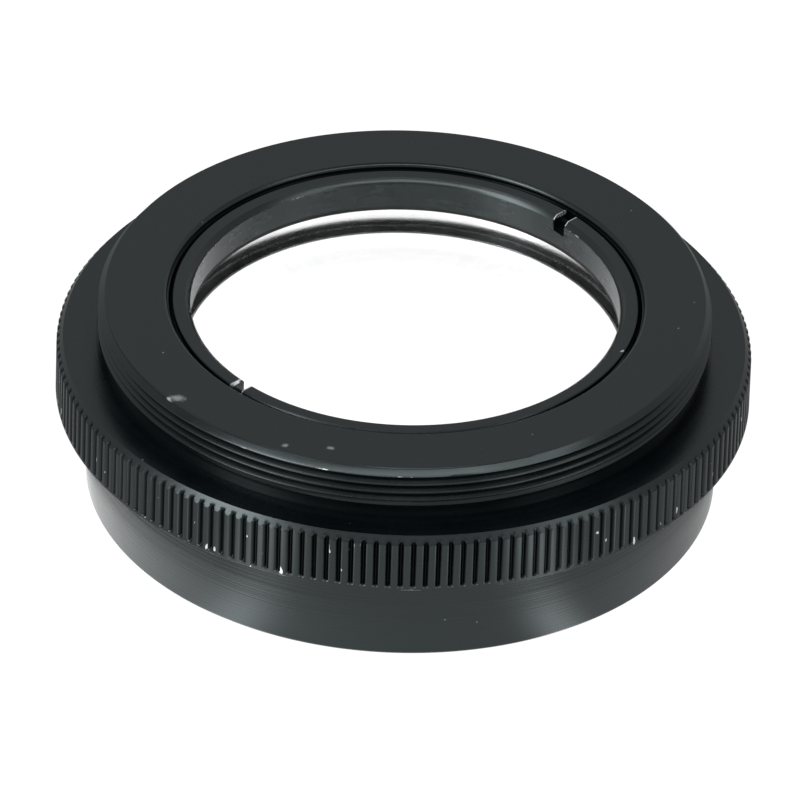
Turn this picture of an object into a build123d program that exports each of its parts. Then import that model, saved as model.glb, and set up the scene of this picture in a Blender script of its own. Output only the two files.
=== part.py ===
from build123d import *

import os
from math import cos, pi, radians, sqrt, tan

# Screw-in barlow lens, in millimetres. +Z is the optical axis, and the origin is the centre of the
# skirt's bottom face, on which the lens stands.

# Turned barrel, outside: grip and skirt stand out beyond the boss's thread by their overhangs
skirt_overhang = 0.7
skirt_height = 7.75
grip_overhang = 3.2
grip_height = 4.9
boss_height = 4.05
skirt_edge_break = 0.2
grip_bevel_width = 0.5
grip_bevel_height = 0.65
grip_bottom_chamfer = 0.15

# Straight knurl of the grip: groove widths are shares of the knurl's pitch
knurl_count = 176
knurl_angle = 0.64
knurl_depth = 0.28
knurl_mouth_share = 0.55
knurl_floor_share = 0.08
knurl_rim = 0.35

# Male thread on the boss, a 48 mm fine thread, with an undercut in boss and shoulder at its foot
thread_diameter = 48.0
thread_pitch = 0.75
thread_allowance = 0.03
boss_top_chamfer = 0.5
thread_relief_width = 0.5
thread_relief_depth = 0.06
shoulder_undercut_clearance = 0.13
shoulder_undercut_depth = 0.1

# Mouth of the bore and its female thread for the retaining ring
ring_thread_diameter = 37.0
ring_thread_pitch = 0.5
ring_thread_clearance = 0.05
mouth_clearance = 0.1
mouth_bevel = 0.25

# Retaining ring, below the top of the boss, and the washer under it
ring_recess = 0.3
ring_wall = 1.65
ring_height = 2.5
ring_bore_chamfer = 0.4
ring_edge_break = 0.12
ring_collar_height = 0.25
ring_collar_clearance = 0.4
slot_width = 1.2
slot_depth = 1.3
slot_angle = 45.0
washer_thickness = 0.35
washer_clearance = 0.1

# Cemented doublet, which drops in past the crests of the bore's thread
glass_entry_clearance = 0.08
glass_clearance = 0.05
glass_bevel = 0.15
crown_edge = 3.65
cement_thickness = 0.05
flint_edge = 1.3
upper_surface_radius = 400.0
cemented_surface_radius = 80.7
lower_surface_radius = 187.0

# Seat, aperture and hood under the glass
seat_width = 0.95
aperture_land = 0.9
hood_wall = 1.8
hood_cone_angle = 30.0
hood_edge_break = 0.3

# Shape of a 60 degree thread, as shares of its pitch
male_depth_share = 0.613
female_depth_share = 0.54
crest_flat_share = 0.125
half_thread_angle = radians(30)

# Outside radii and heights
skirt_radius = thread_diameter / 2 + skirt_overhang
grip_radius = thread_diameter / 2 + grip_overhang
crest_radius = thread_diameter / 2 - thread_allowance
root_radius = crest_radius - male_depth_share * thread_pitch
relief_radius = root_radius - thread_relief_depth
undercut_radius = crest_radius + shoulder_undercut_clearance
grip_top = skirt_height + grip_height
boss_top = grip_top + boss_height
relief_top = grip_top + thread_relief_width
undercut_bottom = grip_top - shoulder_undercut_depth

# The stack, from the top of the boss down: ring, washer, crown, cement, flint, seat
ring_top = boss_top - ring_recess
ring_bottom = ring_top - ring_height
glass_top = ring_bottom - washer_thickness
cement_top = glass_top - crown_edge
flint_top = cement_top - cement_thickness
seat_height = flint_top - flint_edge

# The ring's ridge runs in the gap between the turns of the barrel's ridge, clear all round
ring_crest_radius = ring_thread_diameter / 2 - ring_thread_clearance
ring_root_radius = ring_crest_radius - female_depth_share * ring_thread_pitch
female_root_radius = ring_crest_radius + 1.5 * ring_thread_clearance
female_crest_radius = ring_root_radius + 2 * ring_thread_clearance
female_ridge_crest = crest_flat_share * ring_thread_pitch
ridge_overlap = ring_crest_radius - female_crest_radius
ring_ridge_crest = (
    ring_thread_pitch
    - female_ridge_crest
    - 2 * ridge_overlap * tan(half_thread_angle)
    - 2 * ring_thread_clearance / cos(half_thread_angle)
)
mouth_radius = female_root_radius + mouth_clearance
collar_radius = mouth_radius - ring_collar_clearance
collar_bottom = ring_top - ring_collar_height
ring_bore_radius = ring_crest_radius - ring_wall

# Both ring threads have the turns that fit between the ring's bottom and its collar, less one
ring_thread_turns = (collar_bottom - ring_bottom) // ring_thread_pitch - 1
ring_thread_length = ring_thread_turns * ring_thread_pitch

# The glass pocket ends below the glass's rim, so that nothing of the bore rests on the glass
glass_radius = female_crest_radius - glass_entry_clearance
pocket_radius = glass_radius + glass_clearance
pocket_top = glass_top - ring_thread_pitch
aperture_radius = pocket_radius - seat_width
clear_radius = ring_bore_radius + washer_clearance

# Hood
hood_radius = skirt_radius - hood_wall
land_bottom = seat_height - aperture_land
hood_top = land_bottom - (hood_radius - aperture_radius) * tan(radians(hood_cone_angle))


def sagitta(surface_radius, half_width):
    """Height of a spherical cap of that surface radius above its chord."""
    return surface_radius - sqrt(surface_radius**2 - half_width**2)


def spherical_arc(surface_radius, edge_radius, edge_height, rise):
    """Half section of a lens surface, from its rim in to the axis: rise 1 bulges up, -1 dips."""
    depth = sagitta(surface_radius, edge_radius)
    middle = edge_radius / 2
    return [
        (edge_radius, edge_height),
        (middle, edge_height + rise * (depth - sagitta(surface_radius, middle))),
        (0, edge_height + rise * depth),
    ]


def thread_section(narrow_radius, narrow_width, wide_radius, height):
    """Corners of one 60 degree thread ridge or groove in the XZ plane, always the same way round."""
    half_narrow = narrow_width / 2
    half_wide = half_narrow + abs(wide_radius - narrow_radius) * tan(half_thread_angle)
    corners = [
        (narrow_radius, height - half_narrow),
        (wide_radius, height - half_wide),
        (wide_radius, height + half_wide),
        (narrow_radius, height + half_narrow),
    ]
    return corners if wide_radius < narrow_radius else corners[::-1]


def whole_turns(length, pitch):
    """The least whole number of pitches that is at least that length."""
    return -(-length // pitch) * pitch


# The turned barrel: one profile, from the skirt's bottom edge round the outside and down the bore
barrel_profile = [
    (hood_radius + hood_edge_break, 0),
    (skirt_radius - skirt_edge_break, 0),
    (skirt_radius, skirt_edge_break),
    (skirt_radius, skirt_height),
    (grip_radius - grip_bottom_chamfer, skirt_height),
    (grip_radius, skirt_height + grip_bottom_chamfer),
    (grip_radius, grip_top - grip_bevel_height),
    (grip_radius - grip_bevel_width, grip_top),
    (undercut_radius, grip_top),
    (undercut_radius, undercut_bottom),
    (relief_radius, undercut_bottom),
    (relief_radius, relief_top),
    (crest_radius, relief_top + crest_radius - relief_radius),
    (crest_radius, boss_top - boss_top_chamfer),
    (crest_radius - boss_top_chamfer, boss_top),
    (mouth_radius + mouth_bevel, boss_top),
    (mouth_radius, boss_top - mouth_bevel),
    (mouth_radius, collar_bottom),
    (female_root_radius, collar_bottom - mouth_clearance),
    (female_root_radius, pocket_top + female_root_radius - pocket_radius),
    (pocket_radius, pocket_top),
    (pocket_radius, seat_height),
    (aperture_radius, seat_height),
    (aperture_radius, land_bottom),
    (hood_radius, hood_top),
    (hood_radius, hood_edge_break),
]

knurl_pitch = 2 * pi * grip_radius / knurl_count
knurl_half_floor = knurl_pitch * knurl_floor_share / 2
knurl_half_mouth = knurl_pitch * knurl_mouth_share / 2
knurl_half_outside = 2 * knurl_half_mouth - knurl_half_floor

male_groove_floor = crest_flat_share * thread_pitch
male_cut_start = relief_top - male_groove_floor
male_cut_length = whole_turns(boss_top - male_cut_start, thread_pitch)
cut_overrun = 0.05

ridge_root_overlap = 0.1
female_ridge_start = ring_bottom + ring_thread_pitch / 4
ring_ridge_start = female_ridge_start + ring_thread_pitch / 2

with BuildPart() as lens_barrel:
    with BuildSketch(Plane.XZ):
        with BuildLine():
            Polyline(*barrel_profile, close=True)
        make_face()
    revolve(axis=Axis.Z)

    # Knurl: grooves that run out through the top bevel and stop short of the flange's lower edge
    with BuildSketch(Plane.XY.offset(skirt_height + knurl_rim)):
        with PolarLocations(grip_radius, knurl_count, start_angle=knurl_angle):
            Polygon(
                (-knurl_depth, -knurl_half_floor),
                (knurl_depth, -knurl_half_outside),
                (knurl_depth, knurl_half_outside),
                (-knurl_depth, knurl_half_floor),
                align=None,
            )
    extrude(amount=grip_height, mode=Mode.SUBTRACT)

    # Male thread: a right-handed groove from the relief up through the top chamfer
    with BuildLine():
        Helix(thread_pitch, male_cut_length, crest_radius, center=(0, 0, male_cut_start))
    with BuildSketch(Plane.XZ):
        Polygon(
            *thread_section(root_radius, male_groove_floor, crest_radius + cut_overrun, male_cut_start),
            align=None,
        )
    sweep(is_frenet=True, mode=Mode.SUBTRACT)

    # Female thread in the bore: a right-handed ridge on the plain bore
    with BuildLine():
        Helix(
            ring_thread_pitch,
            ring_thread_length,
            female_crest_radius,
            center=(0, 0, female_ridge_start),
        )
    with BuildSketch(Plane.XZ):
        Polygon(
            *thread_section(
                female_crest_radius,
                female_ridge_crest,
                female_root_radius + ridge_root_overlap,
                female_ridge_start,
            ),
            align=None,
        )
    sweep(is_frenet=True)

# The retaining ring: chamfered bore, plain collar, male thread under it, two spanner slots across the top
ring_profile = [
    (ring_bore_radius, ring_bottom),
    (ring_root_radius, ring_bottom),
    (ring_root_radius, collar_bottom),
    (collar_radius, collar_bottom),
    (collar_radius, ring_top - ring_edge_break),
    (collar_radius - ring_edge_break, ring_top),
    (ring_bore_radius + ring_bore_chamfer, ring_top),
    (ring_bore_radius, ring_top - ring_bore_chamfer),
]
ring_middle_radius = ring_bore_radius + ring_wall / 2

with BuildPart() as retaining_ring:
    with BuildSketch(Plane.XZ):
        with BuildLine():
            Polyline(*ring_profile, close=True)
        make_face()
    revolve(axis=Axis.Z)

    with BuildLine():
        Helix(
            ring_thread_pitch,
            ring_thread_length,
            ring_crest_radius,
            center=(0, 0, ring_ridge_start),
        )
    with BuildSketch(Plane.XZ):
        Polygon(
            *thread_section(
                ring_crest_radius,
                ring_ridge_crest,
                ring_root_radius - ridge_root_overlap,
                ring_ridge_start,
            ),
            align=None,
        )
    sweep(is_frenet=True)

    with BuildSketch(Plane.XY.offset(ring_top)):
        with PolarLocations(ring_middle_radius, 2, start_angle=slot_angle):
            Rectangle(2 * ring_wall, slot_width)
    extrude(amount=-slot_depth, mode=Mode.SUBTRACT)

# Washer between the ring and the glass
with BuildPart() as slip_washer:
    with BuildSketch(Plane.XY.offset(glass_top)):
        Circle(female_crest_radius - washer_clearance)
        Circle(ring_bore_radius, mode=Mode.SUBTRACT)
    extrude(amount=washer_thickness)

# Upper glass: a dished top inside a flat land for the washer, and a deep hollow underneath
with BuildPart() as crown_element:
    with BuildSketch(Plane.XZ):
        with BuildLine():
            top = ThreePointArc(*spherical_arc(upper_surface_radius, clear_radius, glass_top, -1))
            under = ThreePointArc(*spherical_arc(cemented_surface_radius, glass_radius, cement_top, 1))
            Polyline(
                top @ 0,
                (glass_radius - glass_bevel, glass_top),
                (glass_radius, glass_top - glass_bevel),
                under @ 0,
            )
            Line(top @ 1, under @ 1)
        make_face()
    revolve(axis=Axis.Z)

# Film of cement between the two glasses
with BuildPart() as cement_layer:
    with BuildSketch(Plane.XZ):
        with BuildLine():
            over = ThreePointArc(*spherical_arc(cemented_surface_radius, glass_radius, cement_top, 1))
            under = ThreePointArc(*spherical_arc(cemented_surface_radius, glass_radius, flint_top, 1))
            Line(over @ 0, under @ 0)
            Line(over @ 1, under @ 1)
        make_face()
    revolve(axis=Axis.Z)

# Lower glass: a domed top and a shallow hollow inside the land that rests on the seat
with BuildPart() as flint_element:
    with BuildSketch(Plane.XZ):
        with BuildLine():
            dome = ThreePointArc(*spherical_arc(cemented_surface_radius, glass_radius, flint_top, 1))
            hollow = ThreePointArc(*spherical_arc(lower_surface_radius, aperture_radius, seat_height, 1))
            Polyline(
                dome @ 0,
                (glass_radius, seat_height + glass_bevel),
                (glass_radius - glass_bevel, seat_height),
                hollow @ 0,
            )
            Line(dome @ 1, hollow @ 1)
        make_face()
    revolve(axis=Axis.Z)

lens_barrel.part.label = "lens_barrel"
retaining_ring.part.label = "retaining_ring"
slip_washer.part.label = "slip_washer"
crown_element.part.label = "crown_element"
cement_layer.part.label = "cement_layer"
flint_element.part.label = "flint_element"

os.makedirs("parts", exist_ok=True)
export_step(lens_barrel.part, "parts/lens_barrel.step")
export_step(retaining_ring.part, "parts/retaining_ring.step")
export_step(slip_washer.part, "parts/slip_washer.step")
export_step(crown_element.part, "parts/crown_element.step")
export_step(cement_layer.part, "parts/cement_layer.step")
export_step(flint_element.part, "parts/flint_element.step")
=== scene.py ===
import math

import bmesh
import bpy
import numpy as np
from mathutils import Matrix


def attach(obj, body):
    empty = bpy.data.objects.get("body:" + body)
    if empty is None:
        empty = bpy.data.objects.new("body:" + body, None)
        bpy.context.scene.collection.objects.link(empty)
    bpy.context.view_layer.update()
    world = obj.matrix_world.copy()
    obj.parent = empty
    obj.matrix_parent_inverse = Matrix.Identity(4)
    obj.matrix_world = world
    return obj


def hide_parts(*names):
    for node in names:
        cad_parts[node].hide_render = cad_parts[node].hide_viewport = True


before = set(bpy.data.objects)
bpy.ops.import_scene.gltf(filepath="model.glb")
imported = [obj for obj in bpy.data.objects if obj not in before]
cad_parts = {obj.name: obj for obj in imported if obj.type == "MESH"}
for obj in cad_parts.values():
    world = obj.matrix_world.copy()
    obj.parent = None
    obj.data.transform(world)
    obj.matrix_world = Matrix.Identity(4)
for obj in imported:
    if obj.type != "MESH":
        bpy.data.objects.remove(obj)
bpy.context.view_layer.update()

millimetre = 0.001
fullTurn = 2 * math.pi
mergeDistance = 2e-7  # metres
noiseSpan = (0.3, 0.7)  # between these lies most of a noise's range
glossSpread = 0.05  # how far roughness strays to each side of a finish's own
edgeShare = 0.4  # the middle point of a rounded edge lies this share of the edge in from its corner
print("frame loaded:", ", ".join(sorted(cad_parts)))


def polarPoints(radius, angle, height):
    # x = radius times cos(angle), y = radius times sin(angle), z = height
    parts = np.broadcast_arrays(radius * np.cos(angle), radius * np.sin(angle), height)
    return np.stack(parts, axis=-1)


def newShell():
    return {"points": [], "faces": [], "finishes": [], "count": 0}


def addFaces(shell, points, faces, finish):
    shell["points"].append(points.reshape(-1, 3))
    shell["faces"].extend((faces + shell["count"]).tolist())
    shell["finishes"].extend([finish] * len(faces))
    shell["count"] += points.reshape(-1, 3).shape[0]


def addGrid(shell, points, rowShift=0, keepColumns=None, finish=0, closed=True):
    # a quad between each four neighbours; the last column joins the first one, rowShift rows further on
    rows, columns = points.shape[:2]
    index = np.arange(rows * columns).reshape(rows, columns)
    if closed:
        first = np.concatenate([index[rowShift:, :1], np.repeat(index[-1:, :1], rowShift, axis=0)])
        index = np.hstack([index, first])
    quads = np.stack([index[:-1, :-1], index[:-1, 1:], index[1:, 1:], index[1:, :-1]], axis=-1)
    if keepColumns is not None:
        quads = quads[:, keepColumns]
    addFaces(shell, points, quads.reshape(-1, 4), finish)


def addFan(shell, coarse, fine):
    # joins a ring to one with four times as many points, five triangles to each coarse step
    count = len(coarse)
    a = np.append(np.arange(count), 0)
    b = np.append(np.arange(4 * count), 0) + count
    a0, a1 = a[:-1], a[1:]
    b0, b1, b2, b3, b4 = (b[k : k + 4 * count : 4] for k in range(5))
    corners = [(a0, b0, b1), (a0, b1, b2), (a0, b2, a1), (a1, b2, b3), (a1, b3, b4)]
    triangles = np.concatenate([np.stack(c, axis=-1) for c in corners])
    addFaces(shell, np.concatenate([coarse, fine]), triangles, 0)


def addRings(shell, profile, angles, finish=0):
    # a profile of (radius, height) pairs carried round the axis
    pairs = np.array(profile, float)
    addGrid(shell, polarPoints(pairs[:, :1], angles[None, :], pairs[:, 1:]), finish=finish)


def roundedEdge(start, end, bulge, steps=5):
    # a chamfer swollen outwards: point = along the chamfer + bulge times sine, square to it
    share = np.linspace(0, 1, steps + 1)
    radius = start[0] + share * (end[0] - start[0])
    height = start[1] + share * (end[1] - start[1])
    swell = bulge * np.sin(share * math.pi)
    return np.stack([radius - swell * math.sqrt(0.5), height + swell * math.sqrt(0.5)], axis=-1).tolist()


def arcProfile(surfaceRadius, outer, inner, edgeHeight, rise, steps=14):
    # height = edge height + rise times (sagitta of the rim - sagitta at that radius), on a sphere
    radius = np.linspace(outer, inner, steps)
    sagitta = surfaceRadius - np.sqrt(surfaceRadius**2 - radius**2)
    return np.stack([radius, edgeHeight + rise * (sagitta[0] - sagitta)], axis=-1).tolist()


def screwHeights(thread, angles, low, high):
    # height = start + pitch times (corner phase + turns round the axis), held between low and high
    first = math.floor((low - thread["start"]) / thread["pitch"]) - 2
    last = math.ceil((high - thread["start"]) / thread["pitch"]) + 1
    phases = (np.arange(first, last + 1)[:, None] + np.array(thread["corners"])[None, :]).ravel()
    turns = phases[:, None] + angles[None, :] / fullTurn
    return np.clip(thread["start"] + thread["pitch"] * turns, low, high)


def screwRadius(thread, angles, heights):
    # radius read off the thread's half profile, by the distance along the axis from its nearest turn
    turns = (heights - thread["start"]) / thread["pitch"] - angles / fullTurn
    nearest = np.round(turns)
    distance = np.abs(turns - nearest) * thread["pitch"]
    formed = np.interp(distance, thread["distances"], thread["radii"])
    travelled = nearest + angles / fullTurn
    ends = np.minimum(travelled, thread["turns"] - travelled) / thread["runOut"]
    plain = thread["radii"][-1]
    return plain + (formed - plain) * np.clip(ends, 0, 1)


def buildPiece(name, shell, materials, sharpAngle=20):
    mesh = bpy.data.meshes.new(name)
    points = np.concatenate(shell["points"]) * millimetre
    mesh.from_pydata(points.tolist(), [], shell["faces"])
    mesh.polygons.foreach_set("material_index", shell["finishes"])
    solid = bmesh.new()
    solid.from_mesh(mesh)
    bmesh.ops.remove_doubles(solid, verts=solid.verts, dist=mergeDistance)
    bmesh.ops.dissolve_degenerate(solid, edges=solid.edges, dist=mergeDistance)
    bmesh.ops.recalc_face_normals(solid, faces=solid.faces)
    solid.to_mesh(mesh)
    solid.free()
    for material in materials:
        mesh.materials.append(material)
    mesh.shade_smooth()
    mesh.set_sharp_from_angle(angle=math.radians(sharpAngle))
    piece = bpy.data.objects.new(name, mesh)
    bpy.context.scene.collection.objects.link(piece)
    print(name, len(mesh.polygons), "faces")
    return piece


def newGroup(name, inputs, outputs):
    group = bpy.data.node_groups.new(name, "ShaderNodeTree")
    for label, value in inputs.items():
        socket = group.interface.new_socket(name=label, in_out="INPUT", socket_type="NodeSocketFloat")
        socket.default_value = value
    for label in outputs:
        group.interface.new_socket(name=label, in_out="OUTPUT", socket_type="NodeSocketFloat")
    return group, group.nodes.new("NodeGroupInput"), group.nodes.new("NodeGroupOutput")


def mathNode(tree, operation, first, second=0.0):
    node = tree.nodes.new("ShaderNodeMath")
    node.operation = operation
    for socket, value in zip(node.inputs, (first, second)):
        if isinstance(value, bpy.types.NodeSocket):
            tree.links.new(value, socket)
        else:
            socket.default_value = value
    return node.outputs[0]


def objectPlace(tree):
    # object coordinates in millimetres
    coords = tree.nodes.new("ShaderNodeTexCoord")
    scale = tree.nodes.new("ShaderNodeVectorMath")
    scale.operation = "SCALE"
    scale.inputs["Scale"].default_value = 1 / millimetre
    tree.links.new(coords.outputs["Object"], scale.inputs[0])
    return scale.outputs[0]


def splitPlace(tree, place):
    split = tree.nodes.new("ShaderNodeSeparateXYZ")
    tree.links.new(place, split.inputs[0])
    return split.outputs


def joinPlace(tree, values):
    join = tree.nodes.new("ShaderNodeCombineXYZ")
    for value, socket in zip(values, join.inputs):
        tree.links.new(value, socket)
    return join.outputs[0]


def lengthOf(tree, across, along):
    # length = square root of (across squared + along squared)
    squares = [mathNode(tree, "MULTIPLY", side, side) for side in (across, along)]
    return mathNode(tree, "SQRT", mathNode(tree, "ADD", *squares))


def product(tree, first, *others):
    for other in others:
        first = mathNode(tree, "MULTIPLY", first, other)
    return first


def noiseNode(tree, vector, scale, detail=2.0, roughness=0.5):
    node = tree.nodes.new("ShaderNodeTexNoise")
    tree.links.new(vector, node.inputs["Vector"])
    if isinstance(scale, bpy.types.NodeSocket):
        tree.links.new(scale, node.inputs["Scale"])
    else:
        node.inputs["Scale"].default_value = scale
    node.inputs["Detail"].default_value = detail
    node.inputs["Roughness"].default_value = roughness
    return node.outputs[0]


def rangeNode(tree, value, low, high, toLow=0.0, toHigh=1.0):
    node = tree.nodes.new("ShaderNodeMapRange")
    for label, item in zip(("Value", "From Min", "From Max", "To Min", "To Max"),
                           (value, low, high, toLow, toHigh)):
        if isinstance(item, bpy.types.NodeSocket):
            tree.links.new(item, node.inputs[label])
        else:
            node.inputs[label].default_value = item
    return node.outputs[0]


def makePatches(group, place, source, detail, roughness, softness):
    # noise cut off at 1 - cover, so that a larger cover leaves more of it standing
    noise = noiseNode(group, place, source.outputs["Patches per mm"], detail, roughness)
    low = mathNode(group, "SUBTRACT", 1.0, source.outputs["Cover"])
    return rangeNode(group, noise, low, mathNode(group, "ADD", low, softness))


def makeTurningMarks():
    # fine rings left by the lathe tool: noise that depends on radius and height alone
    group, source, sink = newGroup("turningMarks", {"Lines per mm": 9.0, "Bands per mm": 0.9},
                                   ["Height", "Bands"])
    x, y, height = splitPlace(group, objectPlace(group))
    profile = joinPlace(group, (lengthOf(group, x, y), height))
    fine = noiseNode(group, profile, source.outputs["Lines per mm"], detail=1.0)
    broad = noiseNode(group, profile, source.outputs["Bands per mm"], detail=2.0)
    group.links.new(fine, sink.inputs["Height"])
    group.links.new(broad, sink.inputs["Bands"])
    return group


def makeSurfaceGrain():
    # the etched skin under an anodised finish, and slow changes of shade in the dye
    group, source, sink = newGroup("surfaceGrain", {"Grain per mm": 7.0, "Clouds per mm": 0.22},
                                   ["Grain", "Clouds"])
    place = objectPlace(group)
    grain = noiseNode(group, place, source.outputs["Grain per mm"], detail=2.0, roughness=0.6)
    clouds = noiseNode(group, place, source.outputs["Clouds per mm"], detail=3.0, roughness=0.6)
    group.links.new(grain, sink.inputs["Grain"])
    group.links.new(clouds, sink.inputs["Clouds"])
    return group


def makeWornSpecks():
    # short upright chips where the finish is through, inside the band between two radii
    group, source, sink = newGroup(
        "wornSpecks",
        {"Specks per mm": 1.6, "Stretch": 0.4, "Threshold": 0.74, "Inner Radius": 27.1,
         "Outer Radius": 27.17},
        ["Mask"],
    )
    x, y, height = splitPlace(group, objectPlace(group))
    drawn = joinPlace(group, (x, y, product(group, height, source.outputs["Stretch"])))
    softness = 0.02
    noise = noiseNode(group, drawn, source.outputs["Specks per mm"], detail=1.0)
    limit = mathNode(group, "ADD", source.outputs["Threshold"], softness)
    specks = rangeNode(group, noise, source.outputs["Threshold"], limit)
    band = rangeNode(group, lengthOf(group, x, y), source.outputs["Inner Radius"],
                     source.outputs["Outer Radius"])
    group.links.new(product(group, specks, band), sink.inputs["Mask"])
    return group


def makeEdgeWear():
    # a thin worn line round an edge that lies at one radius and height, broken up by noise
    group, source, sink = newGroup(
        "edgeWear",
        {"Edge Radius": 27.1, "Edge Height": 7.8, "Width": 0.12, "Patches per mm": 0.5, "Cover": 0.5},
        ["Mask"],
    )
    place = objectPlace(group)
    x, y, height = splitPlace(group, place)
    away = mathNode(group, "SUBTRACT", lengthOf(group, x, y), source.outputs["Edge Radius"])
    over = mathNode(group, "SUBTRACT", height, source.outputs["Edge Height"])
    width = source.outputs["Width"]
    line = rangeNode(group, lengthOf(group, away, over), width, product(group, width, 0.4))
    patches = makePatches(group, place, source, 3.0, 0.7, 0.08)
    group.links.new(product(group, line, patches), sink.inputs["Mask"])
    return group


def makeSlotWear():
    # bright metal along the upper edges of a cross slot that runs through the axis
    group, source, sink = newGroup(
        "slotWear",
        {"Slot Angle": 45.0, "Half Width": 0.6, "Above": 16.1, "Width": 0.1, "Patches per mm": 1.1,
         "Cover": 0.6},
        ["Mask"],
    )
    place = objectPlace(group)
    x, y, height = splitPlace(group, place)
    angle = mathNode(group, "RADIANS", source.outputs["Slot Angle"])
    # distance from the slot's middle plane = x times sine of the angle - y times its cosine
    across = mathNode(group, "SUBTRACT", product(group, x, mathNode(group, "SINE", angle)),
                      product(group, y, mathNode(group, "COSINE", angle)))
    fromWall = mathNode(group, "SUBTRACT", mathNode(group, "ABSOLUTE", across),
                        source.outputs["Half Width"])
    width = source.outputs["Width"]
    line = rangeNode(group, mathNode(group, "ABSOLUTE", fromWall), width, product(group, width, 0.5))
    raised = mathNode(group, "GREATER_THAN", height, source.outputs["Above"])
    patches = makePatches(group, place, source, 2.0, 0.6, 0.1)
    group.links.new(product(group, line, raised, patches), sink.inputs["Mask"])
    return group


def makeScuff():
    # a small rubbed place round one point on an upper face
    group, source, sink = newGroup(
        "scuff",
        {"X": 0.0, "Y": 0.0, "Length": 1.0, "Width": 0.4, "Above": 16.5, "Strength": 0.5,
         "Patches per mm": 3.0, "Raggedness": 1.2, "Clear Beyond": 1.5, "Full Within": 0.7},
        ["Mask"],
    )
    place = objectPlace(group)
    x, y, height = splitPlace(group, place)
    along = mathNode(group, "DIVIDE", mathNode(group, "SUBTRACT", x, source.outputs["X"]),
                     source.outputs["Length"])
    over = mathNode(group, "DIVIDE", mathNode(group, "SUBTRACT", y, source.outputs["Y"]),
                    source.outputs["Width"])
    noise = noiseNode(group, place, source.outputs["Patches per mm"], detail=3.0, roughness=0.7)
    ragged = mathNode(group, "ADD", lengthOf(group, along, over),
                      product(group, noise, source.outputs["Raggedness"]))
    spot = rangeNode(group, ragged, source.outputs["Clear Beyond"], source.outputs["Full Within"])
    raised = mathNode(group, "GREATER_THAN", height, source.outputs["Above"])
    group.links.new(product(group, spot, raised, source.outputs["Strength"]), sink.inputs["Mask"])
    return group


def makeDust():
    # a few pale grains lying on the surface
    group, source, sink = newGroup("dust", {"Grains per mm": 0.8, "Size": 0.08, "Share": 0.2}, ["Mask"])
    cells = group.nodes.new("ShaderNodeTexVoronoi")
    group.links.new(objectPlace(group), cells.inputs["Vector"])
    group.links.new(source.outputs["Grains per mm"], cells.inputs["Scale"])
    size = source.outputs["Size"]
    grains = rangeNode(group, cells.outputs["Distance"], size, product(group, size, 0.5))
    pick = group.nodes.new("ShaderNodeSeparateColor")
    group.links.new(cells.outputs["Color"], pick.inputs[0])
    chosen = mathNode(group, "LESS_THAN", pick.outputs[0], source.outputs["Share"])
    group.links.new(product(group, grains, chosen), sink.inputs["Mask"])
    return group


def makeGrooveShade():
    # how far a point lies below the grip's plain outline, whose radius falls along the top bevel; it marks
    # where painted shade goes in the grooves
    group, source, sink = newGroup(
        "grooveShade",
        {"Radius": 27.2, "Bevel Foot": 12.0, "Bevel Slope": 0.77, "Shallowest": 0.01, "Depth": 0.2,
         "Deepest": 0.32, "Lowest": 7.9, "Highest": 12.63},
        ["Mask"],
    )
    x, y, height = splitPlace(group, objectPlace(group))
    above = mathNode(group, "SUBTRACT", height, source.outputs["Bevel Foot"])
    fall = product(group, mathNode(group, "MAXIMUM", above, 0.0), source.outputs["Bevel Slope"])
    outline = mathNode(group, "SUBTRACT", source.outputs["Radius"], fall)
    depth = mathNode(group, "SUBTRACT", outline, lengthOf(group, x, y))
    deep = rangeNode(group, depth, source.outputs["Shallowest"], source.outputs["Depth"])
    grip = mathNode(group, "LESS_THAN", depth, source.outputs["Deepest"])
    raised = mathNode(group, "GREATER_THAN", height, source.outputs["Lowest"])
    below = mathNode(group, "LESS_THAN", height, source.outputs["Highest"])
    group.links.new(product(group, deep, grip, raised, below), sink.inputs["Mask"])
    return group


turningMarks = makeTurningMarks()
grooveShade = makeGrooveShade()
surfaceGrain = makeSurfaceGrain()
wornSpecks = makeWornSpecks()
edgeWear = makeEdgeWear()
slotWear = makeSlotWear()
scuff = makeScuff()
dust = makeDust()
print("shader groups ready")


def newMaterial(name):
    material = bpy.data.materials.new(name)
    material.use_nodes = True
    tree = material.node_tree
    shader = tree.nodes["Principled BSDF"]
    return material, tree, shader


def placeGroup(tree, group, values):
    node = tree.nodes.new("ShaderNodeGroup")
    node.node_tree = group
    for label, value in values.items():
        node.inputs[label].default_value = value
    return node.outputs


def mixColor(tree, factor, first, second):
    node = tree.nodes.new("ShaderNodeMix")
    node.data_type = "RGBA"
    for socket, value in ((node.inputs[0], factor), (node.inputs[6], first), (node.inputs[7], second)):
        if isinstance(value, bpy.types.NodeSocket):
            tree.links.new(value, socket)
        else:
            socket.default_value = value
    return node.outputs[2]


def addBump(tree, shader, height, distance):
    bump = tree.nodes.new("ShaderNodeBump")
    bump.inputs["Distance"].default_value = distance
    tree.links.new(height, bump.inputs["Height"])
    tree.links.new(bump.outputs[0], shader.inputs["Normal"])


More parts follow.
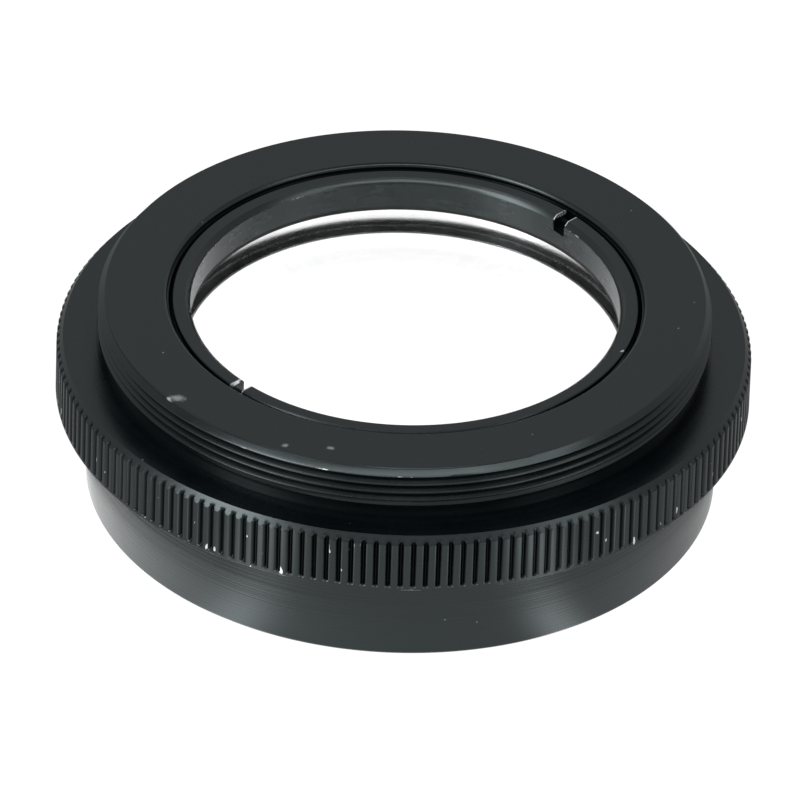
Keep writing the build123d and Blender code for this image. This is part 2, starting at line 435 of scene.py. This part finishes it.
def anodisedMaterial(name, finish):
    # black dyed aluminium: shade and gloss vary with the dye, wear lets the bright metal through
    material, tree, shader = newMaterial(name)
    marks = placeGroup(tree, turningMarks, {"Lines per mm": finish["linesPerMm"]})
    grain = placeGroup(tree, surfaceGrain, {})
    grains = placeGroup(tree, dust, {"Share": finish["dustShare"]})
    masks = [placeGroup(tree, wornSpecks, values)["Mask"] for values in finish["specks"]]
    masks += [placeGroup(tree, edgeWear, values)["Mask"] for values in finish["edges"]]
    masks += [placeGroup(tree, slotWear, values)["Mask"] for values in finish["slots"]]
    masks += [placeGroup(tree, scuff, values)["Mask"] for values in finish["scuffs"]]
    worn = masks[0]
    for mask in masks[1:]:
        worn = mathNode(tree, "MAXIMUM", worn, mask)
    shade = product(tree, mathNode(tree, "ADD", grain["Clouds"], marks["Bands"]), 0.5)
    dyeShare = rangeNode(tree, shade, *finish["dyeSpan"])
    dye = mixColor(tree, dyeShare, finish["darkDye"], finish["paleDye"])
    dusting = product(tree, grains["Mask"], finish["dustStrength"])
    dusted = mixColor(tree, dusting, dye, finish["dustColor"])
    tree.links.new(mixColor(tree, worn, dusted, finish["bareMetal"]), shader.inputs["Base Color"])
    # painted shade: deep in the grip's grooves the metal is made black and fully metallic, so it takes up
    # nearly all the light, standing in for the shade there
    grooves = placeGroup(tree, grooveShade, {})["Mask"]
    paintedShade = product(tree, grooves, finish["paintedGrooveShade"])
    tree.links.new(mathNode(tree, "MAXIMUM", worn, paintedShade), shader.inputs["Metallic"])
    gloss = rangeNode(tree, shade, *noiseSpan, finish["roughness"] - glossSpread,
                      finish["roughness"] + glossSpread)
    tree.links.new(gloss, shader.inputs["Roughness"])
    # the marks are deep up to one height and shallow above it
    stop = finish["deepMarksBelow"]
    blend = finish["markBlend"]
    level = splitPlace(tree, objectPlace(tree))[2]
    markDepth = rangeNode(tree, level, stop, stop + blend, finish["deepMarkDepth"], finish["markDepth"])
    height = mathNode(tree, "ADD", product(tree, marks["Height"], markDepth),
                      product(tree, grain["Grain"], finish["grainDepth"]))
    shader.inputs["Specular Tint"].default_value = finish["specularTint"]
    addBump(tree, shader, height, millimetre)
    return material


def plasticMaterial(name, finish):
    material, tree, shader = newMaterial(name)
    grain = placeGroup(tree, surfaceGrain, {"Grain per mm": 12.0})
    tree.links.new(mixColor(tree, grain["Clouds"], finish["dark"], finish["pale"]),
                   shader.inputs["Base Color"])
    gloss = rangeNode(tree, grain["Grain"], *noiseSpan, *finish["roughness"])
    tree.links.new(gloss, shader.inputs["Roughness"])
    addBump(tree, shader, grain["Grain"], finish["grainDepth"] * millimetre)
    return material


def polishedGlass(name, finish):
    # clear glass, its surface broken only by the faintest uneven film
    material, tree, shader = newMaterial(name)
    grain = placeGroup(tree, surfaceGrain, {"Clouds per mm": 0.12})
    grains = placeGroup(tree, dust, {"Share": 0.1, "Size": 0.05})
    tree.links.new(mixColor(tree, grain["Clouds"], finish["tint"], finish["paleTint"]),
                   shader.inputs["Base Color"])
    tree.links.new(product(tree, grains["Mask"], finish["grainRoughness"]), shader.inputs["Roughness"])
    shader.inputs["Transmission Weight"].default_value = 1.0
    shader.inputs["IOR"].default_value = finish["index"]
    return material


def groundGlass(name, finish):
    # the fine-ground edge of a lens, which scatters the light that strikes it from inside
    material, tree, shader = newMaterial(name)
    grain = placeGroup(tree, surfaceGrain, {"Grain per mm": 14.0, "Clouds per mm": 0.6})
    tree.links.new(mixColor(tree, grain["Clouds"], finish["dark"], finish["pale"]),
                   shader.inputs["Base Color"])
    gloss = rangeNode(tree, grain["Grain"], *noiseSpan, finish["roughness"] - glossSpread,
                      finish["roughness"] + glossSpread)
    tree.links.new(gloss, shader.inputs["Roughness"])
    shader.inputs["Transmission Weight"].default_value = 1.0
    shader.inputs["IOR"].default_value = finish["index"]
    return material


def cementedGlass(name, finish):
    # where glass meets cement there is hardly any reflection, only a breath of haze
    material, tree, shader = newMaterial(name)
    grain = placeGroup(tree, surfaceGrain, {"Clouds per mm": 0.2})
    tree.links.new(mixColor(tree, grain["Clouds"], finish["dark"], finish["pale"]),
                   shader.inputs["Base Color"])
    haze = rangeNode(tree, grain["Clouds"], *noiseSpan, *finish["haze"])
    tree.links.new(haze, shader.inputs["Alpha"])
    shader.inputs["Roughness"].default_value = 0.4
    shader.inputs["Specular IOR Level"].default_value = 0.0
    return material


barrel = {
    "skirtRadius": 24.7,
    "skirtTop": 7.75,
    "skirtEdge": 0.2,
    "skirtHold": 0.1,
    "gripRadius": 27.2,
    "gripTop": 12.65,
    "gripFoot": 0.15,
    "gripBevelWidth": 0.5,
    "gripBevelHeight": 0.65,
    "undercutRadius": 24.1,
    "undercutDepth": 0.1,
    "reliefRadius": 23.45,
    "reliefTop": 13.15,
    "crestRadius": 23.97,
    "bossTop": 16.7,
    "bossChamfer": 0.5,
    "mouthRadius": 18.625,
    "mouthBevel": 0.25,
    "mouthSwell": 0.05,
    "mouthFloor": 16.15,
    "boreRadius": 18.525,
    "boreFoot": 13.325,
    "pocketRadius": 18.25,
    "pocketTop": 13.05,
    "seatHeight": 8.55,
    "apertureRadius": 17.3,
    "landBottom": 7.65,
    "hoodRadius": 22.9,
    "hoodTop": 4.417,
    "hoodEdge": 0.3,
    "knurl": {
        "count": 176,
        "angle": 0.64,  # degrees to the middle of the first groove
        "depth": 0.28,
        "rim": 0.35,
        "places": [-0.04, 0.04, 0.235, 0.305, 0.4, 0.6, 0.695, 0.765],  # across one tooth and groove
        "depths": [1.0, 1.0, 0.17, 0.03, 0.0, 0.0, 0.03, 0.17],
        "runIn": [(-0.04, 0), (0.04, 0.55), (0.2, 1)],  # height from the grooves' foot, share of their depth
        "bevelSteps": [0, 0.15, 0.3, 0.45, 0.56, 0.75, 1],
    },
    "bossThread": {
        "pitch": 0.75,
        "start": 13.056,
        "turns": 6,
        "runOut": 0.05,
        "corners": [0.0625, 0.42, 0.445, 0.555, 0.58, 0.9375],
        "distances": [0.0, 0.047, 0.315, 0.334],
        "radii": [23.51, 23.51, 23.955, 23.97],
    },
    "boreThread": {
        "pitch": 0.5,
        "start": 14.025,
        "turns": 3,
        "runOut": 0.06,
        "corners": [0.0625, 0.345, 0.655, 0.9375],
        "distances": [0.0, 0.031, 0.173],
        "radii": [18.28, 18.28, 18.525],
    },
    "finish": {
        "darkDye": (0.0006, 0.0014, 0.0020, 1),
        "paleDye": (0.0014, 0.0026, 0.0034, 1),
        "dyeSpan": (0.35, 0.65),
        "specularTint": (0.84, 0.98, 1.0, 1),
        "bareMetal": (0.72, 0.73, 0.74, 1),
        "dustColor": (0.30, 0.31, 0.31, 1),
        "dustStrength": 0.35,
        "dustShare": 0.10,
        "roughness": 0.28,
        # strength of the painted shade in the grip's grooves
        "paintedGrooveShade": 0.85,
        "linesPerMm": 9.0,
        "markDepth": 0.004,
        "deepMarkDepth": 0.022,
        "deepMarksBelow": 7.7,
        "markBlend": 0.05,
        "grainDepth": 0.0012,
        "specks": [
            {"Specks per mm": 2.2, "Stretch": 0.4, "Threshold": 0.722, "Inner Radius": 27.16,
             "Outer Radius": 27.19},
        ],
        "edges": [
            {"Edge Radius": 27.12, "Edge Height": 7.82, "Width": 0.14, "Patches per mm": 0.45,
             "Cover": 0.42},
            {"Edge Radius": 23.97, "Edge Height": 16.2, "Width": 0.05, "Patches per mm": 0.6,
             "Cover": 0.36},
        ],
        "slots": [],
        "scuffs": [
            {"X": -17.4, "Y": -15.0, "Length": 0.9, "Width": 0.55, "Strength": 0.3},
            {"X": -18.1, "Y": -15.1, "Length": 0.4, "Width": 0.3, "Strength": 0.8},
            {"X": -8.9, "Y": -20.9, "Length": 0.35, "Width": 0.3, "Strength": 0.3},
            {"X": -5.4, "Y": -21.1, "Length": 0.4, "Width": 0.3, "Strength": 0.3},
        ],
    },
}


def makeBarrel():
    b = barrel
    knurl = b["knurl"]
    bossThread = b["bossThread"]
    boreThread = b["boreThread"]
    shell = newShell()
    tooth = fullTurn / knurl["count"]
    start = math.radians(knurl["angle"])
    coarse = start + np.arange(2 * knurl["count"]) * tooth / 2
    fine = (start + tooth * (np.arange(knurl["count"])[:, None] + np.array(knurl["places"]))).ravel()

    # from the hood's foot out to the skirt and up it
    addRings(shell, [
        (b["hoodRadius"] + b["hoodEdge"], 0),
        (b["skirtRadius"] - b["skirtEdge"], 0),
        (b["skirtRadius"] - edgeShare * b["skirtEdge"], edgeShare * b["skirtEdge"]),
        (b["skirtRadius"], b["skirtEdge"]),
        (b["skirtRadius"], b["skirtEdge"] + b["skirtHold"]),
        (b["skirtRadius"], b["skirtTop"]),
    ], coarse)

    # the knurled grip: radius = the smaller of the plain outline and the groove's depth at that place
    groovesFoot = b["skirtTop"] + knurl["rim"]
    outline = [
        (b["gripRadius"] - b["gripFoot"], b["skirtTop"], 0),
        (b["gripRadius"], b["skirtTop"] + b["gripFoot"], 0),
    ]
    outline += [(b["gripRadius"], groovesFoot + above, share) for above, share in knurl["runIn"]]
    for step in knurl["bevelSteps"]:
        height = b["gripTop"] - (1 - step) * b["gripBevelHeight"]
        outline.append((b["gripRadius"] - step * b["gripBevelWidth"], height, 1))
    rows = np.array(outline)
    grooves = knurl["depth"] * np.tile(knurl["depths"], knurl["count"])
    radius = np.minimum(rows[:, :1], b["gripRadius"] - grooves[None, :] * rows[:, 2:])
    grip = polarPoints(radius, fine[None, :], rows[:, 1:2])
    addFan(shell, polarPoints(b["skirtRadius"], coarse, b["skirtTop"]), grip[0])
    addGrid(shell, grip)
    addFan(shell, polarPoints(b["undercutRadius"], coarse, b["gripTop"]), grip[-1])

    # the undercut, then the boss with its thread, held inside the relief, the crests and the top chamfer
    addRings(shell, [
        (b["undercutRadius"], b["gripTop"]),
        (b["undercutRadius"], b["gripTop"] - b["undercutDepth"]),
        (b["reliefRadius"], b["gripTop"] - b["undercutDepth"]),
        (b["reliefRadius"], b["reliefTop"]),
    ], coarse)
    coneTop = b["reliefTop"] + b["crestRadius"] - b["reliefRadius"]
    chamferFoot = b["bossTop"] - b["bossChamfer"]
    limitHeights = [b["reliefTop"], coneTop, chamferFoot, b["bossTop"]]
    limitRadii = [b["reliefRadius"], b["crestRadius"], b["crestRadius"], b["crestRadius"] - b["bossChamfer"]]
    for low, high in zip(limitHeights[:-1], limitHeights[1:]):
        heights = screwHeights(bossThread, coarse, low, high)
        radius = np.minimum(np.interp(heights, limitHeights, limitRadii),
                            screwRadius(bossThread, coarse[None, :], heights))
        addGrid(shell, polarPoints(radius, coarse[None, :], heights), len(bossThread["corners"]))

    # across the top and into the mouth
    addRings(shell, [
        (limitRadii[-1], b["bossTop"]),
        *roundedEdge((b["mouthRadius"] + b["mouthBevel"], b["bossTop"]),
                     (b["mouthRadius"], b["bossTop"] - b["mouthBevel"]), b["mouthSwell"]),
        (b["mouthRadius"], b["mouthFloor"]),
        (b["boreRadius"], b["mouthFloor"]),
    ], coarse)

    # the bore with its fine thread, then the glass pocket, the seat and the hood
    heights = screwHeights(boreThread, coarse, b["boreFoot"], b["mouthFloor"])
    radius = screwRadius(boreThread, coarse[None, :], heights)
    addGrid(shell, polarPoints(radius, coarse[None, :], heights), len(boreThread["corners"]))
    addRings(shell, [
        (b["boreRadius"], b["boreFoot"]),
        (b["pocketRadius"], b["pocketTop"]),
        (b["pocketRadius"], b["seatHeight"]),
        (b["apertureRadius"], b["seatHeight"]),
        (b["apertureRadius"], b["landBottom"]),
        (b["hoodRadius"], b["hoodTop"]),
        (b["hoodRadius"], b["hoodEdge"]),
        (b["hoodRadius"] + b["hoodEdge"], 0),
    ], coarse)
    return buildPiece("turnedBarrel", shell, [anodisedMaterial("barrelAnodised", b["finish"])])


barrelPiece = makeBarrel()
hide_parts("lens_barrel")
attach(barrelPiece, "lens_barrel")


ring = {
    "bottom": 13.9,
    "slotFloor": 15.1,
    "boreChamferFoot": 16.0,
    "boreChamfer": 0.4,
    "boreSwell": 0.045,
    "collarBottom": 16.15,
    "top": 16.4,
    "boreRadius": 16.8,
    "collarRadius": 18.225,
    "collarEdge": 0.12,
    "collarHold": 0.06,
    "slotAngle": 45,  # degrees, the other slot is opposite
    "slotWidth": 1.2,
    "arcColumns": 176,
    "slotColumns": 3,
    "thread": {
        "pitch": 0.5,
        "start": 14.275,
        "turns": 3,
        "runOut": 0.06,
        "corners": [0.126, 0.438, 0.562, 0.874],
        "distances": [0.0, 0.063, 0.219],
        "radii": [18.45, 18.45, 18.18],
    },
    "finish": dict(
        barrel["finish"],
        deepMarkDepth=0.012,
        deepMarksBelow=15.95,
        dustShare=0.04,
        specks=[
            {"Specks per mm": 0.9, "Stretch": 1.0, "Threshold": 0.78, "Inner Radius": 16.9,
             "Outer Radius": 17.1},
        ],
        edges=[
            {"Edge Radius": 16.8, "Edge Height": 16.0, "Width": 0.04, "Patches per mm": 0.5, "Cover": 0.4},
        ],
        slots=[{"Cover": 0.62}],
        scuffs=[],
    ),
}


def makeRing():
    r = ring
    ringThread = r["thread"]
    shell = newShell()
    halfTurn = fullTurn / 2
    share = np.linspace(0, 1, r["arcColumns"] + 1)
    across = np.linspace(-1, 1, r["slotColumns"] + 2)[1:-1]
    first = math.radians(r["slotAngle"])

    # column angle = base + lean times the slot's half angle at that radius, so slot walls are parallel
    base = np.concatenate([first + share * halfTurn, np.full(len(across), first + halfTurn)])
    lean = np.concatenate([1 - 2 * share, across])
    arcColumns = np.arange(len(base)) < r["arcColumns"]
    base = np.concatenate([base, base + halfTurn])
    lean = np.concatenate([lean, lean])
    arcs = np.concatenate([arcColumns, arcColumns])
    walls = np.flatnonzero(np.abs(lean) == 1)

    def place(radius, heights):
        angle = base + lean * np.arcsin(r["slotWidth"] / 2 / radius)
        return polarPoints(radius, angle, heights)

    columnAngle = base + lean * math.asin(r["slotWidth"] / 2 / r["collarRadius"])
    shift = len(ringThread["corners"])
    bands = []
    stops = [r["bottom"], r["slotFloor"], r["boreChamferFoot"], r["collarBottom"]]
    for low, high in zip(stops[:-1], stops[1:]):
        heights = screwHeights(ringThread, columnAngle, low, high)
        bands.append((screwRadius(ringThread, columnAngle[None, :], heights), heights, shift))
    collar = np.array([
        (ringThread["radii"][-1], r["collarBottom"]),
        (r["collarRadius"], r["collarBottom"]),
        (r["collarRadius"], r["collarBottom"] + r["collarHold"]),
        (r["collarRadius"], r["top"] - r["collarEdge"]),
        (r["collarRadius"] - edgeShare * r["collarEdge"], r["top"] - edgeShare * r["collarEdge"]),
        (r["collarRadius"] - r["collarEdge"], r["top"]),
    ])
    wide = np.ones((1, len(base)))
    bands.append((collar[:, :1] * wide, collar[:, 1:] * wide, 0))

    for number, (outerRadius, heights, rowShift) in enumerate(bands):
        # the chamfer's radius grows with height, less a swell that follows a sine across it
        share = np.maximum(heights - r["boreChamferFoot"], 0) / r["boreChamfer"]
        swell = r["boreSwell"] * np.sin(share * math.pi)
        innerRadius = r["boreRadius"] + share * r["boreChamfer"] - swell
        outer = place(outerRadius, heights)
        inner = place(innerRadius, heights)
        cut = number > 0  # only the lowest band runs on under the slots
        addGrid(shell, outer, rowShift, arcs if cut else None)
        addGrid(shell, inner, rowShift, arcs if cut else None)
        if cut:
            for wall in walls:
                addGrid(shell, np.stack([outer[:, wall], inner[:, wall]], axis=1), closed=False)
        if number == 0:
            addGrid(shell, np.stack([outer[0], inner[0]]))
            addGrid(shell, np.stack([outer[-1], inner[-1]]), keepColumns=~arcs)
    addGrid(shell, np.stack([outer[-1], inner[-1]]), keepColumns=arcs)
    return buildPiece("slottedRing", shell, [anodisedMaterial("ringAnodised", r["finish"])])


ringPiece = makeRing()
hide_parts("retaining_ring")
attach(ringPiece, "retaining_ring")


washer = {
    "innerRadius": 16.8,
    "outerRadius": 18.18,
    "bottom": 13.55,
    "top": 13.9,
    "edge": 0.06,
    "columns": 240,
    "finish": {
        "dark": (0.004, 0.004, 0.0045, 1),
        "pale": (0.011, 0.011, 0.012, 1),
        "roughness": (0.55, 0.75),
        "grainDepth": 0.01,
    },
}


def makeWasher():
    w = washer
    shell = newShell()
    angles = np.arange(w["columns"]) * fullTurn / w["columns"]
    addRings(shell, [
        (w["innerRadius"] + w["edge"], w["bottom"]),
        (w["outerRadius"], w["bottom"]),
        (w["outerRadius"], w["top"]),
        (w["innerRadius"] + w["edge"], w["top"]),
        (w["innerRadius"], w["top"] - w["edge"]),
        (w["innerRadius"], w["bottom"] + w["edge"]),
        (w["innerRadius"] + w["edge"], w["bottom"]),
    ], angles)
    return buildPiece("blackWasher", shell, [plasticMaterial("washerPlastic", w["finish"])])


washerPiece = makeWasher()
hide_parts("slip_washer")
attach(washerPiece, "slip_washer")


glass = {
    "radius": 18.2,
    "bevel": 0.15,
    "crownTop": 13.55,
    "crownEdgeFoot": 9.9,
    "flintEdgeTop": 9.85,
    "flintBottom": 8.55,
    "clearRadius": 16.9,
    "seatRadius": 17.3,
    "upperCurve": 400.0,
    "cementedCurve": 80.7,
    "lowerCurve": 187.0,
    "columns": 240,
    "crownFinish": {"tint": (0.985, 0.99, 0.99, 1), "paleTint": (1, 1, 1, 1), "index": 1.52,
                    "grainRoughness": 0.25},
    "flintFinish": {"tint": (0.985, 0.99, 0.985, 1), "paleTint": (1, 1, 1, 1), "index": 1.52,
                    "grainRoughness": 0.25},
    "edgeFinish": {"dark": (0.80, 0.82, 0.82, 1), "pale": (0.92, 0.93, 0.93, 1), "roughness": 0.24,
                   "index": 1.52},
    "cementFinish": {"dark": (0.80, 0.82, 0.80, 1), "pale": (0.95, 0.95, 0.93, 1), "haze": (0.015, 0.03)},
}


def makeLens(name, upper, edge, lower, finishes):
    # three surfaces of revolution about the axis: upper face, ground edge and lower face
    shell = newShell()
    angles = np.arange(glass["columns"]) * fullTurn / glass["columns"]
    addRings(shell, upper, angles, 0)
    addRings(shell, edge, angles, 1)
    addRings(shell, lower, angles, 2)
    return buildPiece(name, shell, finishes)


def makeGlasses():
    g = glass
    rim = g["radius"]
    crownPolish = polishedGlass("crownPolished", g["crownFinish"])
    flintPolish = polishedGlass("flintPolished", g["flintFinish"])
    edgeGround = groundGlass("edgeGround", g["edgeFinish"])
    cemented = cementedGlass("cementFilm", g["cementFinish"])
    crown = makeLens(
        "crownLens",
        [(rim - g["bevel"], g["crownTop"])]
        + arcProfile(g["upperCurve"], g["clearRadius"], 0, g["crownTop"], -1),
        [
            (rim - g["bevel"], g["crownTop"]),
            (rim, g["crownTop"] - g["bevel"]),
            (rim, g["crownEdgeFoot"]),
        ],
        arcProfile(g["cementedCurve"], rim, 0, g["crownEdgeFoot"], 1),
        [crownPolish, edgeGround, cemented],
    )
    film = makeLens(
        "cementFilm",
        arcProfile(g["cementedCurve"], rim, 0, g["crownEdgeFoot"], 1),
        [(rim, g["crownEdgeFoot"]), (rim, g["flintEdgeTop"])],
        arcProfile(g["cementedCurve"], rim, 0, g["flintEdgeTop"], 1),
        [cemented, cemented, cemented],
    )
    flint = makeLens(
        "flintLens",
        arcProfile(g["cementedCurve"], rim, 0, g["flintEdgeTop"], 1),
        [
            (rim, g["flintEdgeTop"]),
            (rim, g["flintBottom"] + g["bevel"]),
            (rim - g["bevel"], g["flintBottom"]),
        ],
        [(rim - g["bevel"], g["flintBottom"])]
        + arcProfile(g["lowerCurve"], g["seatRadius"], 0, g["flintBottom"], 1),
        [cemented, edgeGround, flintPolish],
    )
    return crown, film, flint


crownPiece, filmPiece, flintPiece = makeGlasses()
for piece, node, slot in (
    (crownPiece, "crown_element", "crown_glass"),
    (filmPiece, "cement_layer", "optical_cement"),
    (flintPiece, "flint_element", "flint_glass"),
):
    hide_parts(node)
    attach(piece, "lens_barrel")


stage = {
    "floorSize": 6.0,
    "floorDrop": 0.02,
    "floorGlow": 1.05,
    "farGlow": 0.38,
    "frontGlow": 0.62,
    "apronGlow": 1.0,
    "apronReach": 5.6,
    "apronShape": 0.6,
    "apronSoftness": 0.6,
    "outerBand": (9.0, 12.0),
    "apronLobes": [(-152, 4.0, 1.1)],  # direction, sharpness, extra glow
    "streaks": [(-121, 160, 2.0), (-58, 260, 2.2)],
    # painted light: a glowing disc under the glass that makes the view through the lens white
    "paintedGlowDiscRadius": 17.2,
    "paintedGlowDiscHeight": 8.5,
    "paintedGlowDiscStrength": 1.25,
    "paintedGlowDiscCorners": 120,
    "skyColor": (0.98, 0.99, 1.0, 1),
    "skyGlow": 0.54,
    "zenithGlow": 0.2,
    "zenithBand": (0.6, 0.9),  # sine of the elevation
}
lights = [  # name, direction, elevation, distance, width, height, glow
    ("overheadSoftbox", -88, 61, 0.7, 0.60, 0.22, 4.2),
    ("leftSoftbox", -148, 40, 0.7, 0.27, 0.44, 9.0),
    ("rightSoftbox", -32, 42, 0.7, 0.26, 0.40, 2.6),
    ("upperLeftSoftbox", 175, 68, 0.7, 0.20, 0.16, 2.8),
    ("upperRightSoftbox", 12, 64, 0.7, 0.13, 0.16, 2.8),
]
cameraView = {
    "distance": 1200.0,
    "elevation": 34.561,
    "roll": 1.881,
    "offset": (0.173, -5.667),
    "lens": 686.151,
    "sensorWidth": 36,
    "clip": (0.05, 20),  # metres
}


def glowFromAbove(tree, strength):
    # light from the upper side, nothing at all from below
    emission = tree.nodes.new("ShaderNodeEmission")
    if isinstance(strength, bpy.types.NodeSocket):
        tree.links.new(strength, emission.inputs["Strength"])
    else:
        emission.inputs["Strength"].default_value = strength
    clear = tree.nodes.new("ShaderNodeBsdfTransparent")
    mix = tree.nodes.new("ShaderNodeMixShader")
    side = tree.nodes.new("ShaderNodeNewGeometry")
    tree.links.new(side.outputs["Backfacing"], mix.inputs[0])
    tree.links.new(emission.outputs[0], mix.inputs[1])
    tree.links.new(clear.outputs[0], mix.inputs[2])
    tree.links.new(mix.outputs[0], tree.nodes["Material Output"].inputs["Surface"])


def makeFloor():
    material, tree, shader = newMaterial("floorGlow")
    tree.nodes.remove(shader)
    x, y = splitPlace(tree, objectPlace(tree))[:2]
    radius = lengthOf(tree, x, y)
    beyond = mathNode(tree, "SUBTRACT", radius, barrel["skirtRadius"])

    def lobe(direction, sharpness):
        # cosine of the angle from the direction, raised to the sharpness
        across = product(tree, x, math.cos(math.radians(direction)))
        along = product(tree, y, math.sin(math.radians(direction)))
        cosine = mathNode(tree, "DIVIDE", mathNode(tree, "ADD", across, along), radius)
        return mathNode(tree, "POWER", mathNode(tree, "MAXIMUM", cosine, 0.0), sharpness)

    # what the metal mirrors: a bright apron round the skirt, wider in front, and a dimmer floor beyond it
    towardsCamera = -90
    front = product(tree, lobe(towardsCamera, 1.0), stage["frontGlow"])
    dim = mathNode(tree, "ADD", front, stage["farGlow"])
    reach = product(tree, lobe(towardsCamera, stage["apronShape"]), stage["apronReach"])
    soft = stage["apronSoftness"]
    apron = rangeNode(tree, mathNode(tree, "SUBTRACT", beyond, reach), soft, -soft)
    bright = stage["apronGlow"]
    for direction, sharpness, extra in stage["apronLobes"]:
        bright = mathNode(tree, "ADD", product(tree, lobe(direction, sharpness), extra), bright)
    rise = product(tree, mathNode(tree, "SUBTRACT", bright, dim), apron)
    mirrored = mathNode(tree, "ADD", rise, dim)
    lit = mathNode(tree, "MAXIMUM", apron, rangeNode(tree, beyond, *stage["outerBand"]))
    for direction, sharpness, extra in stage["streaks"]:
        streak = product(tree, lobe(direction, sharpness), lit, extra)
        mirrored = mathNode(tree, "ADD", streak, mirrored)
    seen = tree.nodes.new("ShaderNodeLightPath").outputs["Is Camera Ray"]
    glow = rangeNode(tree, seen, 0.0, 1.0, mirrored, stage["floorGlow"])
    glowFromAbove(tree, glow)
    half = stage["floorSize"] / 2
    drop = -stage["floorDrop"] * millimetre
    mesh = bpy.data.meshes.new("paleFloor")
    corners = [(-half, -half, drop), (half, -half, drop), (half, half, drop), (-half, half, drop)]
    mesh.from_pydata(corners, [], [(0, 1, 2, 3)])
    mesh.materials.append(material)
    floor = bpy.data.objects.new("paleFloor", mesh)
    bpy.context.scene.collection.objects.link(floor)


def makePaintedGlowDisc():
    # painted light: a glowing white disc under the glass, shown from above only, that stands in for the
    # bright light seen through the lens
    material, tree, shader = newMaterial("paintedGlowDiscStrength")
    tree.nodes.remove(shader)
    glowFromAbove(tree, stage["paintedGlowDiscStrength"])
    angles = np.arange(stage["paintedGlowDiscCorners"]) * fullTurn / stage["paintedGlowDiscCorners"]
    points = polarPoints(stage["paintedGlowDiscRadius"], angles, stage["paintedGlowDiscHeight"]) * millimetre
    mesh = bpy.data.meshes.new("paintedGlowDisc")
    mesh.from_pydata(points.tolist(), [], [list(range(stage["paintedGlowDiscCorners"]))])
    mesh.materials.append(material)
    glowDisc = bpy.data.objects.new("paintedGlowDisc", mesh)
    bpy.context.scene.collection.objects.link(glowDisc)


def makeLights():
    for name, direction, elevation, distance, width, height, glow in lights:
        lamp = bpy.data.lights.new(name, "AREA")
        lamp.shape = "RECTANGLE"
        lamp.size = width
        lamp.size_y = height
        lamp.energy = glow * math.pi * width * height
        holder = bpy.data.objects.new(name, lamp)
        turn = Matrix.Rotation(math.radians(direction + 90), 4, "Z")
        tilt = Matrix.Rotation(math.radians(90 - elevation), 4, "X")
        holder.matrix_world = turn @ tilt @ Matrix.Translation((0, 0, distance))
        bpy.context.scene.collection.objects.link(holder)
    world = bpy.data.worlds.new("softRoom")
    world.use_nodes = True
    # the room is brightest round about and dims towards the zenith
    tree = world.node_tree
    split = tree.nodes.new("ShaderNodeSeparateXYZ")
    tree.links.new(tree.nodes.new("ShaderNodeTexCoord").outputs["Generated"], split.inputs[0])
    glow = rangeNode(tree, split.outputs[2], *stage["zenithBand"], stage["skyGlow"], stage["zenithGlow"])
    tree.links.new(glow, tree.nodes["Background"].inputs["Strength"])
    tree.nodes["Background"].inputs["Color"].default_value = stage["skyColor"]
    bpy.context.scene.world = world


def makeCamera():
    elevation = math.radians(cameraView["elevation"])
    roll = math.radians(cameraView["roll"])
    right = np.array([1.0, 0.0, 0.0])
    up = np.array([0.0, math.sin(elevation), math.cos(elevation)])
    forward = np.array([0.0, math.cos(elevation), -math.sin(elevation)])
    shiftRight, shiftUp = cameraView["offset"]
    place = -shiftRight * right - shiftUp * up - cameraView["distance"] * forward
    rolledRight = math.cos(roll) * right + math.sin(roll) * up
    rolledUp = math.cos(roll) * up - math.sin(roll) * right
    matrix = Matrix.Identity(4)
    for row in range(3):
        matrix[row][0] = rolledRight[row]
        matrix[row][1] = rolledUp[row]
        matrix[row][2] = -forward[row]
        matrix[row][3] = place[row] * millimetre
    lens = bpy.data.cameras.new("camera")
    lens.sensor_width = cameraView["sensorWidth"]
    lens.lens = cameraView["lens"]
    lens.clip_start, lens.clip_end = cameraView["clip"]
    camera = bpy.data.objects.new("camera", lens)
    camera.matrix_world = matrix
    bpy.context.scene.collection.objects.link(camera)
    bpy.context.scene.camera = camera


makeFloor()
makePaintedGlowDisc()
makeLights()
makeCamera()
bpy.context.scene.view_settings.view_transform = "Standard"
print("stage, lights and camera ready")
